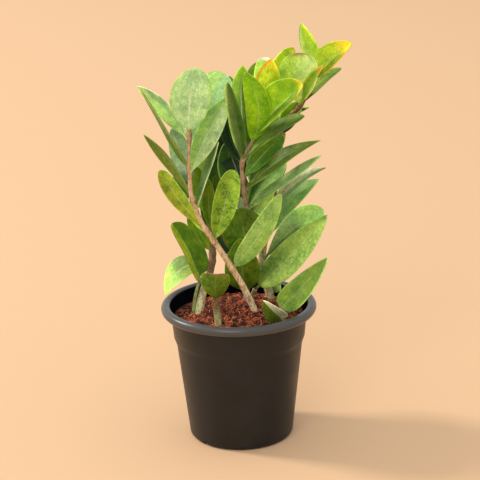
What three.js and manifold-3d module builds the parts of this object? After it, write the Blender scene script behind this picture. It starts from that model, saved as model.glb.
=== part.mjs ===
// A ZZ plant in a nursery pot. Millimetres, +Z up, origin under the middle of the pot.
import * as THREE from "three";
import { mergeVertices } from "three/addons/utils/BufferGeometryUtils.js";
import Module from "manifold-3d";

const wasm = await Module();
wasm.setup();

// Pot
const POT_HEIGHT = 117;
const LIP_RADIUS = 65;
const LIP_ROLL = 4.1; // radius of the rolled lip's own section
const WALL = 1.5;
const FLOOR = 2;
const BASE_RADIUS = 43.8;
const CORNER = 4; // round between base and wall
const CORNER_STEPS = 3;
const STEP_HEIGHT = 83.5; // the wall slopes out to its wider band from here
const STEP_RISE = 4.5;
const BODY_TOP_RADIUS = 52.9;
const BAND_RADIUS = 55;
const BAND_TOP = 98;
const BAND_TOP_RADIUS = 55.9;
const POT_SIDES = 36;
const ROLL_STEPS = 6;
const SLOT_COUNT = 3;
const SLOT_WIDTH = 6;
const SLOT_HEIGHT = 3;
const SLOT_TURN = 225; // degrees, where the first slot sits
const HOLE_COUNT = 6;
const HOLE_RADIUS = 4;
const HOLE_CIRCLE = 24;
const HOLE_SIDES = 12;

// Potting mix and what is buried in it
const GAP = 0.3; // between pieces that touch
const SOIL_LEVEL = 104.5; // at the pot's wall
const SOIL_MOUND = 5;
const SOIL_LUMP = 0.9;
const SOIL_RINGS = 6;
const LOBES = [
  { place: [12, 10, 68], size: [26, 18, 16] },
  { place: [-26, 4, 70], size: [18, 14, 15] },
  { place: [-13, -18, 72], size: [14, 13, 13] },
  { place: [33, -6, 71], size: [13, 13, 13] },
];
const ROOTS = [
  [[12, 10, 60], [24, 18, 40], [30, 10, 16]],
  [[-26, 4, 62], [-32, 16, 42], [-24, 24, 18]],
  [[-13, -18, 64], [-20, -26, 44], [-12, -30, 20]],
  [[36, 3, 64], [38, -10, 44], [28, -22, 18]],
  [[4, 8, 58], [-2, 26, 42], [2, 34, 20]],
];
const ROOT_RADIUS = 1.8;
const ROOT_TAPER = 1;
const ROOT_SIDES = 5;
const ROOT_STEPS = 4;
const LOBE_SIDES = 9;
const LOBE_ROWS = 6;

// Plant
const STEM_SIDES = 8;
const STEM_STEP = 16; // length between two rings of a stem
const BLADE = 0.9; // thickness of a leaflet
const STALK_HALF = 1.1; // half width of the short stalk under a leaflet
const STALK_THICK = 1.8;
const TIP_HALF = 0.4; // half width where the blade ends
const HEEL = 0.72; // how gently a blade widens above its stalk; less is blunter
const NOSE = 0.72; // how gently it narrows to its tip
const STATIONS = [0, 0.07, 0.14, 0.32, 0.58, 0.84, 0.95, 1];
const BLADE_FROM = 2; // the station where the stalk has become a blade
const FRONT = new THREE.Vector3(0, -0.95, 0.31); // the side that most leaflets turn to
const DEGREE = Math.PI / 180;

// Each leaflet: its place along the stem (0 to 1), its tip, its width, its turn about its own
// length from facing the front, the fold of its two halves, and how far its midrib arches
// towards its face. Some have their own heel and nose, or bow to the side.
const FRONDS = [
  {
    name: "frond_front",
    color: 0x7fa54a,
    radius: [3.2, 1.35],
    stem: [
      [19, 0, 76], [15, -3, 103], [5, -8, 131], [-14, -13, 167],
      [-29, -16, 193], [-36, -16, 215], [-37, -14, 240], [-36, -12, 271],
    ],
    leaves: [
      {
        at: 0.38, tip: [36, -36, 221], wide: 18, turn: 0, fold: 8, arch: 4, heel: 0.45, nose: 0.55,
        bow: 3.3,
      },
      {
        at: 0.52, tip: [-2, -36, 242], wide: 20, turn: 5, fold: 10, arch: 3, heel: 0.6, nose: 0.4,
        bow: 0.8,
      },
      {
        at: 0.56, tip: [-46, -17, 213], wide: 7, turn: 0, fold: 10, arch: 0, heel: 0.4, nose: 0.8,
        bow: -0.5,
      },
      {
        at: 0.58, tip: [-61, -22, 239], wide: 14, turn: 0, fold: 12, arch: 0, heel: 0.8, nose: 0.45,
        bow: -2.2,
      },
      { at: 0.67, tip: [-13, -2, 256], wide: 13, turn: -60, fold: 22, arch: 0 },
      { at: 0.71, tip: [-50, 8, 232], wide: 12, turn: -10, fold: 8, arch: -3, heel: 0.6, nose: 0.5 },
      { at: 0.72, tip: [-74, 4, 262], wide: 22, turn: -70, fold: 15, arch: -4.5 },
      { at: 0.77, tip: [-52, 30, 260], wide: 20, turn: 165, fold: 8, arch: 3 },
      {
        at: 0.81, tip: [-4, -20, 298], wide: 20, turn: -5, fold: 8, arch: 4, heel: 0.85, nose: 0.72,
        bow: -1.2,
      },
      { at: 0.83, tip: [-76, 12, 299], wide: 22, turn: -75, fold: 10, arch: -1 },
      { at: 0.95, tip: [-79, 22, 298], wide: 21, turn: -55, fold: 12, arch: -5 },
      {
        at: 0.96, tip: [-7, 14, 309], wide: 29, turn: 10, fold: 6, arch: -3, heel: 0.75, nose: 0.4,
        bow: -1,
      },
      {
        at: 0.98, tip: [-28, -30, 324], wide: 33, turn: 0, fold: 5, arch: 2, heel: 0.55, nose: 0.5,
        bow: -2.5,
      },
    ],
  },
  {
    name: "frond_back_left",
    color: 0x4e8a2a,
    radius: [4.1, 1.5],
    stem: [
      [-28, 2, 80], [-33, 0, 107], [-29, 8, 125], [-23, 16, 140],
      [-21, 21, 153], [-24, 30, 184], [-27, 37, 213], [-28, 42, 237],
    ],
    leaves: [
      { at: 0.44, tip: [-62, 14, 119], wide: 25, turn: 42, fold: 10, arch: 14.5, heel: 0.6, nose: 0.7 },
      {
        at: 0.48, tip: [-40, 10, 193], wide: 15, turn: 20, fold: 12, arch: -3, heel: 0.7, nose: 0.6,
        bow: 0.8,
      },
      { at: 0.53, tip: [-18, 36, 232], wide: 22, turn: 5, fold: 8, arch: -2, heel: 0.6, nose: 0.6 },
      { at: 0.59, tip: [-23, 12, 222], wide: 12, turn: 10, fold: 10, arch: -2 },
      { at: 0.64, tip: [-3, 72, 200], wide: 20, turn: 150, fold: 8, arch: 4 },
      { at: 0.67, tip: [-34, 22, 229], wide: 17, turn: 15, fold: 8, arch: -2, heel: 0.6, nose: 0.6 },
      { at: 0.79, tip: [-42, 78, 237], wide: 20, turn: 170, fold: 8, arch: 4 },
      { at: 0.83, tip: [-18, 38, 255], wide: 22, turn: 0, fold: 8, arch: 2 },
      { at: 0.85, tip: [-9, 74, 228], wide: 20, turn: 160, fold: 8, arch: 4 },
      { at: 0.93, tip: [-37, 70, 269], wide: 20, turn: 160, fold: 8, arch: 3 },
      { at: 0.99, tip: [-23, 40, 282], wide: 20, turn: 20, fold: 8, arch: 2 },
    ],
  },
  {
    name: "frond_centre",
    color: 0x6c9a30,
    radius: [2.5, 1.3],
    stem: [
      [4, 14, 77], [6, 24, 107], [9, 19, 145], [9, 12, 183], [6, 4, 221],
      [6, 2, 237], [14, 0, 254], [20, 2, 274], [27, 2, 299],
    ],
    leaves: [
      { at: 0.18, tip: [2, 0, 173], wide: 30, turn: 0, fold: 10, arch: 7, bow: -1 },
      { at: 0.31, tip: [4, 0, 199], wide: 36, turn: -5, fold: 20, arch: 6, nose: 0.35 },
      { at: 0.31, tip: [-24, 46, 173], wide: 25, turn: 20, fold: 8, arch: 2, heel: 0.6, nose: 0.5 },
      { at: 0.47, tip: [31, 28, 217], wide: 17, turn: 20, fold: 10, arch: 3 },
      { at: 0.50, tip: [-6, 38, 226], wide: 20, turn: 165, fold: 8, arch: 4 },
      { at: 0.51, tip: [43, 34, 228], wide: 17, turn: 10, fold: 10, arch: 3, bow: -4 },
      {
        at: 0.53, tip: [70, -4, 243], wide: 20, turn: -66, fold: 10, arch: 0, heel: 0.6, nose: 0.8,
        bow: 1,
      },
      {
        at: 0.56, tip: [-5, 18, 252], wide: 23, turn: 15, fold: 8, arch: -3, heel: 0.5, nose: 0.5,
        bow: -4,
      },
      {
        at: 0.60, tip: [69, -16, 259], wide: 21, turn: -52, fold: 10, arch: 3, heel: 0.6, nose: 1,
        bow: -4.2,
      },
      { at: 0.60, tip: [-13, 32, 262], wide: 22, turn: 10, fold: 8, arch: 2 },
      { at: 0.64, tip: [-2, 52, 260], wide: 20, turn: 165, fold: 8, arch: 4 },
      { at: 0.65, tip: [39, 20, 254], wide: 18, turn: -20, fold: 10, arch: 3, heel: 0.7, nose: 0.42 },
      { at: 0.70, tip: [-5, 22, 285], wide: 23, turn: 20, fold: 8, arch: -3 },
      { at: 0.71, tip: [-3, 30, 303], wide: 17, turn: 0, fold: 8, arch: 0, heel: 0.6, nose: 0.6 },
      { at: 0.72, tip: [56, -26, 282], wide: 22, turn: -60, fold: 14, arch: 4, heel: 0.6, nose: 0.6 },
      {
        at: 0.72, tip: [-5, -44, 316], wide: 12, turn: -15, fold: 14, arch: 0, heel: 0.5, nose: 0.6,
        bow: 1,
      },
      { at: 0.76, tip: [8, 6, 317], wide: 21, turn: 0, fold: 12, arch: -3, heel: 0.6, nose: 0.7, bow: -3 },
      { at: 0.79, tip: [10, -26, 319], wide: 21, turn: 0, fold: 6, arch: 3, heel: 0.55, nose: 0.6, bow: 8 },
      {
        at: 0.84, tip: [55, -30, 309], wide: 31, turn: -38, fold: 36, arch: 4, heel: 0.6, nose: 0.5,
        bow: 2.5,
      },
      { at: 0.86, tip: [6, 46, 296], wide: 18, turn: 170, fold: 8, arch: 3 },
      { at: 0.90, tip: [20, 34, 313], wide: 22, turn: 0, fold: 8, arch: 0, heel: 0.5, nose: 0.6, bow: -1 },
      { at: 0.92, tip: [27, 16, 321], wide: 17, turn: 0, fold: 8, arch: 2, heel: 0.6, nose: 0.35 },
      { at: 0.92, tip: [31, -8, 325], wide: 22, turn: 0, fold: 10, arch: 2, heel: 0.6, nose: 0.72, bow: 1 },
      { at: 0.97, tip: [50, 37, 324], wide: 17, turn: 0, fold: 10, arch: 3, heel: 0.6, nose: 0.6 },
    ],
  },
  {
    name: "frond_back_right",
    color: 0x5f9440,
    radius: [4.1, 1.4],
    stem: [
      [18, 20, 76], [27, 31, 105], [21, 38, 133], [23, 44, 156], [30, 52, 185],
      [36, 54, 219], [40, 40, 257], [54, 24, 277], [63, 20, 294], [67, 20, 308],
    ],
    leaves: [
      { at: 0.21, tip: [36, 34, 113], wide: 12, turn: 0, fold: 8, arch: -3 },
      {
        at: 0.26, tip: [72, 22, 190], wide: 24, turn: -10, fold: 14, arch: 5, heel: 1.3, nose: 0.5,
        bow: -3.3,
      },
      {
        at: 0.34, tip: [71, 56, 206], wide: 23, turn: -38, fold: 10, arch: 4, heel: 0.6, nose: 0.8,
        bow: -4.3,
      },
      { at: 0.40, tip: [49, 94, 203], wide: 20, turn: 150, fold: 8, arch: 5 },
      { at: 0.40, tip: [19, 62, 222], wide: 22, turn: 0, fold: 8, arch: 2 },
      {
        at: 0.42, tip: [76, 40, 220], wide: 20, turn: -55, fold: 10, arch: 5, heel: 0.6, nose: 0.9,
        bow: -5.5,
      },
      { at: 0.46, tip: [9, 84, 225], wide: 20, turn: 170, fold: 8, arch: 4 },
      { at: 0.52, tip: [33, 76, 227], wide: 20, turn: 10, fold: 10, arch: 4 },
      { at: 0.58, tip: [24, 86, 260], wide: 20, turn: 170, fold: 8, arch: 4 },
      { at: 0.63, tip: [30, 68, 264], wide: 18, turn: 10, fold: 10, arch: 4 },
      { at: 0.71, tip: [54, 48, 276], wide: 15, turn: -10, fold: 8, arch: 2 },
      { at: 0.76, tip: [62, 30, 275], wide: 10, turn: -60, fold: 10, arch: 2 },
      { at: 0.86, tip: [59, 40, 272], wide: 7, turn: -70, fold: 10, arch: 0 },
      { at: 0.87, tip: [89, 32, 307], wide: 17, turn: -50, fold: 10, arch: 3, bow: -2 },
      { at: 0.87, tip: [53, -2, 328], wide: 32, turn: 0, fold: 6, arch: 3, heel: 0.8, nose: 0.38, bow: -1 },
      {
        at: 0.87, tip: [72, -6, 318], wide: 8, turn: -20, fold: 12, arch: 3, heel: 0.5, nose: 0.6,
        bow: -2,
      },
      { at: 0.92, tip: [44, 66, 307], wide: 18, turn: 170, fold: 8, arch: 3 },
      { at: 0.97, tip: [97, 26, 329], wide: 23, turn: -36, fold: 36, arch: 1.5, heel: 0.5, nose: 0.6 },
      {
        at: 0.98, tip: [57, 44, 343], wide: 22, turn: 38, fold: 38, arch: 3, heel: 0.25, nose: 0.85,
        bow: -5.7,
      },
    ],
  },
  {
    name: "sprout_front",
    color: 0x6f8f20,
    radius: [2.8, 2.9],
    stem: [[-14, -24, 79], [-17, -29, 107], [-18, -28, 119], [-19, -29, 132]],
    leaves: [
      { at: 0.98, tip: [-18, -52, 160], wide: 24, turn: 0, fold: -14, arch: 5, heel: 0.85, nose: 0.22 },
    ],
  },
  {
    name: "shoot_left",
    color: 0x3f7a10,
    radius: [1.7, 1.3],
    stem: [[-36, 4, 78], [-38, 4, 106], [-36, 2, 122], [-32, -1, 137]],
    leaves: [
      {
        at: 1.00, tip: [-53, -16, 192], wide: 22, turn: 38, fold: 38, arch: 1, heel: 0.22, nose: 0.32,
        bow: 2,
      },
    ],
  },
  {
    name: "shoot_centre",
    color: 0x7c9c4c,
    radius: [2.2, 1.6],
    stem: [[13, 22, 75], [11, 33, 106], [12, 31, 112], [14, 29, 117]],
    leaves: [
      {
        at: 1.00, tip: [75, 0, 191], wide: 26, turn: -10, fold: 10, arch: 6, heel: 0.55, nose: 0.75,
        bow: 2.7,
      },
    ],
  },
  {
    name: "shoot_right",
    color: 0x84a850,
    radius: [2.6, 1.8],
    stem: [[35, -12, 76], [37, -21, 106], [35, -24, 112], [32, -24, 117]],
    leaves: [
      { at: 0.81, tip: [20, -40, 132], wide: 17, turn: -24, fold: 26, arch: 2, heel: 0.3, nose: 0.7 },
      {
        at: 0.99, tip: [74, -20, 161], wide: 21, turn: -5, fold: 8, arch: 2, heel: 0.27, nose: 0.8,
        bow: 1,
      },
    ],
  },
];

// A closed skin over a row of rings that hold the same number of points.
function skin(rings) {
  const count = rings[0].length;
  const last = (rings.length - 1) * count;
  const faces = [];
  for (let start = 0; start < last; start += count) {
    for (let side = 0; side < count; side++) {
      const here = start + side;
      const next = start + ((side + 1) % count);
      faces.push(here, next, next + count, here, next + count, here + count);
    }
  }
  for (let side = 1; side < count - 1; side++) {
    faces.push(0, side + 1, side, last, last + side, last + side + 1);
  }
  const geometry = new THREE.BufferGeometry();
  const points = rings.flat().flatMap((point) => point.toArray());
  geometry.setAttribute("position", new THREE.Float32BufferAttribute(points, 3));
  geometry.setIndex(faces);
  return solidOf(geometry);
}

// A geometry as a solid that can be joined and cut.
function solidOf(geometry) {
  geometry.deleteAttribute("normal");
  geometry.deleteAttribute("uv");
  const merged = mergeVertices(geometry, 1e-4);
  return new wasm.Manifold(
    new wasm.Mesh({
      numProp: 3,
      vertProperties: merged.attributes.position.array,
      triVerts: new Uint32Array(merged.index.array),
    }),
  );
}

function meshOf(name, solid, material) {
  const made = solid.getMesh();
  const geometry = new THREE.BufferGeometry();
  geometry.setAttribute("position", new THREE.BufferAttribute(made.vertProperties, 3));
  geometry.setIndex(new THREE.BufferAttribute(made.triVerts, 1));
  geometry.computeVertexNormals();
  const mesh = new THREE.Mesh(geometry, material);
  mesh.name = name;
  return mesh;
}

function material(name, color, roughness) {
  return new THREE.MeshStandardMaterial({ name, color, roughness, metalness: 0 });
}

// Points of an arc in the pot's profile, angles in degrees from the outward direction.
function arc(centreR, centreZ, radius, from, to, steps) {
  const points = [];
  for (let step = 0; step <= steps; step++) {
    const angle = (from + ((to - from) * step) / steps) * DEGREE;
    points.push(
      new THREE.Vector2(centreR + radius * Math.cos(angle), centreZ + radius * Math.sin(angle)),
    );
  }
  return points;
}

// The inside of the pot's wall, from the floor up, moved in by a clearance.
function innerWall(clearance) {
  const inset = WALL + clearance;
  return [
    new THREE.Vector2(BASE_RADIUS - inset, FLOOR + CORNER / 2),
    new THREE.Vector2(BODY_TOP_RADIUS - inset, STEP_HEIGHT),
    new THREE.Vector2(BAND_RADIUS - inset, STEP_HEIGHT + STEP_RISE),
    new THREE.Vector2(BAND_TOP_RADIUS - inset, BAND_TOP),
  ];
}

function potSolid() {
  const rollR = LIP_RADIUS - LIP_ROLL;
  const rollZ = POT_HEIGHT - LIP_ROLL;
  const profile = [
    new THREE.Vector2(0, 0),
    ...arc(BASE_RADIUS - CORNER, CORNER, CORNER, -90, -5, CORNER_STEPS),
    new THREE.Vector2(BODY_TOP_RADIUS, STEP_HEIGHT),
    new THREE.Vector2(BAND_RADIUS, STEP_HEIGHT + STEP_RISE),
    new THREE.Vector2(BAND_TOP_RADIUS, BAND_TOP),
    ...arc(rollR, rollZ, LIP_ROLL - WALL, 180, -50, ROLL_STEPS),
    ...arc(rollR, rollZ, LIP_ROLL, -50, 180, ROLL_STEPS),
    ...innerWall(0).reverse(),
    new THREE.Vector2(BASE_RADIUS - WALL - CORNER / 2, FLOOR),
    new THREE.Vector2(0, FLOOR),
  ];
  const turned = new THREE.LatheGeometry(profile, POT_SIDES);
  turned.rotateX(Math.PI / 2);
  let pot = solidOf(turned);
  for (let hole = 0; hole < HOLE_COUNT; hole++) {
    const angle = ((hole + 0.5) * 2 * Math.PI) / HOLE_COUNT;
    const drill = new THREE.CylinderGeometry(HOLE_RADIUS, HOLE_RADIUS, 3 * FLOOR, HOLE_SIDES);
    drill.rotateX(Math.PI / 2);
    drill.translate(HOLE_CIRCLE * Math.cos(angle), HOLE_CIRCLE * Math.sin(angle), FLOOR / 2);
    pot = pot.subtract(solidOf(drill));
  }
  for (let slot = 0; slot < SLOT_COUNT; slot++) {
    const cutter = new THREE.BoxGeometry(3 * CORNER, SLOT_WIDTH, 2 * SLOT_HEIGHT);
    cutter.translate(BASE_RADIUS, 0, 0);
    cutter.rotateZ((SLOT_TURN + (slot * 360) / SLOT_COUNT) * DEGREE);
    pot = pot.subtract(solidOf(cutter));
  }
  return pot;
}

// Height of the mix over its level at the wall.
function soilRelief(x, y) {
  const reach = Math.hypot(x, y) / BAND_RADIUS;
  const mound = SOIL_MOUND * Math.max(0, 1 - reach * reach);
  const lumps = Math.sin(x * 0.42 + 1.3) * Math.cos(y * 0.37 - 0.4) + Math.sin(x * 0.23 - y * 0.31);
  return mound + SOIL_LUMP * lumps;
}

function soilSolid() {
  const wall = innerWall(GAP);
  const top = wall[wall.length - 1];
  const rim = new THREE.Vector2(top.x + 1, SOIL_LEVEL);
  const profile = [
    new THREE.Vector2(0, FLOOR + GAP),
    new THREE.Vector2(BASE_RADIUS - WALL - GAP - CORNER / 2, FLOOR + GAP),
    ...wall,
    rim,
  ];
  for (let ring = SOIL_RINGS - 1; ring >= 0; ring--) {
    profile.push(new THREE.Vector2((rim.x * ring) / SOIL_RINGS, SOIL_LEVEL));
  }
  const geometry = new THREE.LatheGeometry(profile, POT_SIDES);
  geometry.rotateX(Math.PI / 2);
  const place = geometry.attributes.position;
  for (let point = 0; point < place.count; point++) {
    const x = place.getX(point);
    const y = place.getY(point);
    if (place.getZ(point) > SOIL_LEVEL - GAP && Math.hypot(x, y) < rim.x - GAP) {
      place.setZ(point, SOIL_LEVEL + soilRelief(x, y));
    }
  }
  return solidOf(geometry);
}

// The tubers and their thick roots, or with a clearance the room for them in the mix.
function rhizomeSolid(clearance) {
  let clump = null;
  for (const { place, size } of LOBES) {
    const lobe = new THREE.SphereGeometry(1, LOBE_SIDES, LOBE_ROWS);
    lobe.scale(...size.map((half) => half + clearance));
    lobe.translate(...place);
    clump = clump ? clump.add(solidOf(lobe)) : solidOf(lobe);
  }
  for (const points of ROOTS) {
    const curve = new THREE.CatmullRomCurve3(points.map((point) => new THREE.Vector3(...point)));
    const radiusAt = (along) => ROOT_RADIUS - ROOT_TAPER * along + clearance;
    clump = clump.add(tubeSolid(curve, ROOT_SIDES, ROOT_STEPS, radiusAt));
  }
  return clump;
}

// A tube along a curve; radiusAt gives its radius from start (0) to end (1).
function tubeSolid(curve, sides, steps, radiusAt) {
  const frames = curve.computeFrenetFrames(steps, false);
  const rings = [];
  for (let step = 0; step <= steps; step++) {
    const centre = curve.getPointAt(step / steps);
    const radius = radiusAt(step / steps);
    const ring = [];
    for (let side = 0; side < sides; side++) {
      const angle = (side * 2 * Math.PI) / sides;
      ring.push(
        centre
          .clone()
          .addScaledVector(frames.normals[step], radius * Math.cos(angle))
          .addScaledVector(frames.binormals[step], radius * Math.sin(angle)),
      );
    }
    rings.push(ring);
  }
  return skin(rings);
}

function stemCurve(frond) {
  return new THREE.CatmullRomCurve3(frond.stem.map((point) => new THREE.Vector3(...point)));
}

function stemSolid(frond, clearance) {
  const curve = stemCurve(frond);
  const steps = Math.max(3, Math.round(curve.getLength() / STEM_STEP));
  const [thick, thin] = frond.radius;
  return tubeSolid(curve, STEM_SIDES, steps, (along) => thick + (thin - thick) * along + clearance);
}

// Half width of a leaflet at a station: its stalk, then a long oval that ends in a point.
function halfWidth(leaf, station) {
  if (station < STATIONS[BLADE_FROM]) {
    return STALK_HALF;
  }
  const { wide, heel = HEEL, nose = NOSE } = leaf;
  const spread = (along) => along ** heel * (1 - along) ** nose;
  const along = (station - STATIONS[1]) / (1 - STATIONS[1]);
  const fullest = heel / (heel + nose);
  return Math.max(TIP_HALF, ((wide / 2) * spread(along)) / spread(fullest));
}

function leafSolid(leaf, base) {
  const { arch, bow = 0, fold, turn } = leaf;
  const tip = new THREE.Vector3(...leaf.tip);
  const along = tip.clone().sub(base);
  const axis = along.clone().normalize();
  const face = FRONT.clone().addScaledVector(axis, -FRONT.dot(axis)).normalize();
  face.applyAxisAngle(axis, turn * DEGREE);
  const side = face.clone().cross(axis);
  const rings = STATIONS.map((station) => {
    const half = halfWidth(leaf, station);
    const thick = (station < STATIONS[BLADE_FROM] ? STALK_THICK : BLADE) / 2;
    const curve = 4 * station * (1 - station);
    const middle = base.clone().addScaledVector(along, station);
    middle.addScaledVector(face, arch * curve).addScaledVector(side, -bow * curve);
    const lift = half * Math.tan(fold * DEGREE);
    const point = (across, up) =>
      middle.clone().addScaledVector(side, across * half).addScaledVector(face, up);
    return [
      point(0, thick),
      point(-1, lift + thick),
      point(-1, lift - thick),
      point(0, -thick),
      point(1, lift - thick),
      point(1, lift + thick),
    ];
  });
  return skin(rings);
}

// One frond: its stem with every leaflet grown out of it, standing on the rhizomes.
function frondSolid(frond, rhizomeRoom) {
  const curve = stemCurve(frond);
  let solid = stemSolid(frond, 0);
  for (const leaf of frond.leaves) {
    solid = solid.add(leafSolid(leaf, curve.getPointAt(leaf.at)));
  }
  return solid.subtract(rhizomeRoom);
}

const plant = new THREE.Group();
const rhizomeRoom = rhizomeSolid(GAP);
let soil = soilSolid().subtract(rhizomeRoom);
for (const frond of FRONDS) {
  soil = soil.subtract(stemSolid(frond, GAP));
  const green = material("leaf", frond.color, 0.45);
  plant.add(meshOf(frond.name, frondSolid(frond, rhizomeRoom), green));
}
plant.add(meshOf("rhizomes", rhizomeSolid(0), material("rhizome", 0xb89a6a, 0.8)));
plant.add(meshOf("soil", soil, material("coir", 0x7a3a20, 0.95)));
plant.add(meshOf("pot", potSolid(), material("black plastic", 0x34302e, 0.55)));

export default plant;
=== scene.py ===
import math
import random
from functools import partial

import bmesh
import bpy
import numpy as np
from mathutils import Euler, Matrix, Vector, kdtree


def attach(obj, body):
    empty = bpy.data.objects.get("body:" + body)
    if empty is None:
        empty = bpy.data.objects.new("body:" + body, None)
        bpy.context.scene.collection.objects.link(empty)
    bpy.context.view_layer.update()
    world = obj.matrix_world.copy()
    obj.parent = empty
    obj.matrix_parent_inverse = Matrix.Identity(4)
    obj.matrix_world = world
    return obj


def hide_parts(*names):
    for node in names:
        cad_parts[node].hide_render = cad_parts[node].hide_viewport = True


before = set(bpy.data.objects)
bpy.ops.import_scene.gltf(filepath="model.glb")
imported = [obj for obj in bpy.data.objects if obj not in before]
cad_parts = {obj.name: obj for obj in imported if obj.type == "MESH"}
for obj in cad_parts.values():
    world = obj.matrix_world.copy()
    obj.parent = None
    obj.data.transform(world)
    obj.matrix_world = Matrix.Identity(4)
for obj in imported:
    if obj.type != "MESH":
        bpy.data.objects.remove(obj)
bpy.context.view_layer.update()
print("frame loaded:", len(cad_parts), "nodes")

mm = 0.001
tiny = 1e-6      # m, closer than this is the same place


def linear(hexText):
    # sRGB hex to the linear colour that shaders and attributes take
    parts = [int(hexText[i:i + 2], 16) / 255 for i in (1, 3, 5)]
    return np.array([c / 12.92 if c <= 0.04045 else ((c + 0.055) / 1.055) ** 2.4 for c in parts] + [1.0])


def ease(value, low, high):
    # 0 below low, 1 above high, smooth between
    share = np.clip((np.asarray(value, float) - low) / (high - low), 0, 1)
    return share * share * (3 - 2 * share)


def around(radius, angle):
    # a place on the ground, in metres, from a radius in mm
    return Vector((radius * mm * math.cos(angle), radius * mm * math.sin(angle), 0))


def deselect():
    if bpy.context.mode != "OBJECT":
        bpy.ops.object.mode_set(mode="OBJECT")
    bpy.ops.object.select_all(action="DESELECT")


def select(obj):
    deselect()
    obj.select_set(True)
    bpy.context.view_layer.objects.active = obj


def pick(test, kind="verts"):
    # in edit mode, selects the points or faces whose middle passes the test
    data = bpy.context.edit_object.data
    bpy.context.tool_settings.mesh_select_mode = (kind == "verts", False, kind == "faces")
    bpy.ops.mesh.select_all(action="DESELECT")
    edit = bmesh.from_edit_mesh(data)
    for part in getattr(edit, kind):
        if test(part.co if kind == "verts" else part.calc_center_median()):
            part.select_set(True)
    edit.select_flush_mode()
    bmesh.update_edit_mesh(data)


def applyModifier(obj, kind, **settings):
    select(obj)
    modifier = obj.modifiers.new(kind.title(), kind)
    for name, value in settings.items():
        setattr(modifier, name, value)
    bpy.ops.object.modifier_apply(modifier=modifier.name)


def joined(parts, name):
    deselect()
    for part in parts:
        part.select_set(True)
    bpy.context.view_layer.objects.active = parts[0]
    if len(parts) > 1:
        bpy.ops.object.join()
    parts[0].name = name
    return parts[0]


def copyOf(master, matrix):
    made = master.copy()
    made.data = master.data.copy()
    made.data.transform(matrix)
    bpy.context.collection.objects.link(made)
    return made


def tubeAlong(points, radii, **bevel):
    # a closed tube along the points, in metres
    deselect()
    bpy.ops.curve.primitive_nurbs_path_add()
    curve = bpy.context.object.data
    curve.splines.clear()
    spline = curve.splines.new("POLY")
    spline.points.add(len(points) - 1)
    for knot, point, radius in zip(spline.points, points, radii):
        knot.co = (*point, 1)
        knot.radius = radius
    for name, value in bevel.items():
        setattr(curve, name, value)
    curve.use_fill_caps = True
    bpy.ops.object.convert(target="MESH")
    return bpy.context.object


def finderOf(places):
    # looks up the nearest of the places
    finder = kdtree.KDTree(len(places))
    for number, place in enumerate(places):
        finder.insert(place, number)
    finder.balance()
    return finder


def readPoints(data, field):
    values = np.empty(len(data.vertices) * 3)
    data.vertices.foreach_get(field, values)
    return values.reshape(-1, 3)


def paint(data, colours, name="tint"):
    # one colour for all points, or one for each
    layer = data.color_attributes.new(name=name, type="FLOAT_COLOR", domain="POINT")
    colours = np.broadcast_to(np.asarray(colours, np.float32), (len(data.vertices), 4))
    layer.data.foreach_set("color", colours.ravel())


def finishPiece(obj, name, material, node):
    select(obj)
    bpy.ops.object.transform_apply(location=True, rotation=True, scale=True)
    bpy.ops.object.shade_smooth()
    obj.name = name
    obj.data.name = name
    obj.data.materials.clear()
    obj.data.materials.append(material)
    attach(obj, "root")
    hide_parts(node)
    print("piece", name, len(obj.data.polygons), "faces")


# The camera stands as the photograph was taken.
camera = {
    "place": (2.4, -1425, 639.6),    # mm, 1.5 m from the plant
    "tilt": 71.8,                    # degrees, 18.2 below the horizon
    "roll": -1.4,                    # the photograph isn't quite level
    "lens": 136.03,
    "sensor": 36,
}
deselect()
bpy.ops.object.camera_add(location=Vector(camera["place"]) * mm,
                          rotation=(math.radians(camera["tilt"]), 0, 0))
cameraObject = bpy.context.object
cameraObject.name = "photo_camera"
cameraObject.rotation_euler.rotate_axis("Z", math.radians(camera["roll"]))
cameraObject.data.lens = camera["lens"]
cameraObject.data.sensor_width = camera["sensor"]
cameraObject.data.clip_end = 50
bpy.context.scene.camera = cameraObject


def plug(node, socket, value):
    # sets an input, or links it to a socket or to a node's first live output
    if isinstance(value, bpy.types.Node):
        value = next(output for output in value.outputs if output.enabled)
    if isinstance(value, bpy.types.NodeSocket):
        node.id_data.links.new(value, node.inputs[socket])
    else:
        node.inputs[socket].default_value = value


def addNode(tree, kind, inputs=None, **settings):
    node = tree.nodes.new("ShaderNode" + kind)
    for name, value in settings.items():
        setattr(node, name, value)
    for socket, value in (inputs or {}).items():
        plug(node, socket, value)
    return node


def newMaterial(name, **shading):
    # the material, its shader, and a function that adds a node beside them
    material = bpy.data.materials.new(name)
    material.use_nodes = True
    shader = material.node_tree.nodes["Principled BSDF"]
    for socket, value in shading.items():
        plug(shader, socket.replace("_", " "), value)
    return material, shader, partial(addNode, material.node_tree)


leafBlank = {
    "length": 70, "width": 22,     # mm, a middling leaflet; each copy is drawn out to its own size
    "columns": 12, "rows": 28,
    "stalkEnd": 0.07, "stalkHalf": 1.1, "stalkSwell": 2.0,    # share of the length, mm, times thicker
    "blade": 0.9, "edgeShare": 0.5, "groove": 0.35,           # mm thick, share left at the edge, mm deep
    "heel": 0.72, "nose": 0.72,    # how fast it narrows to the stalk and to the tip; less is blunter
    "tipHalf": 0.3,
    "keel": 0.12, "ripple": 0.35,  # share of the half width that is round at the fold; mm at the edge
}


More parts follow.
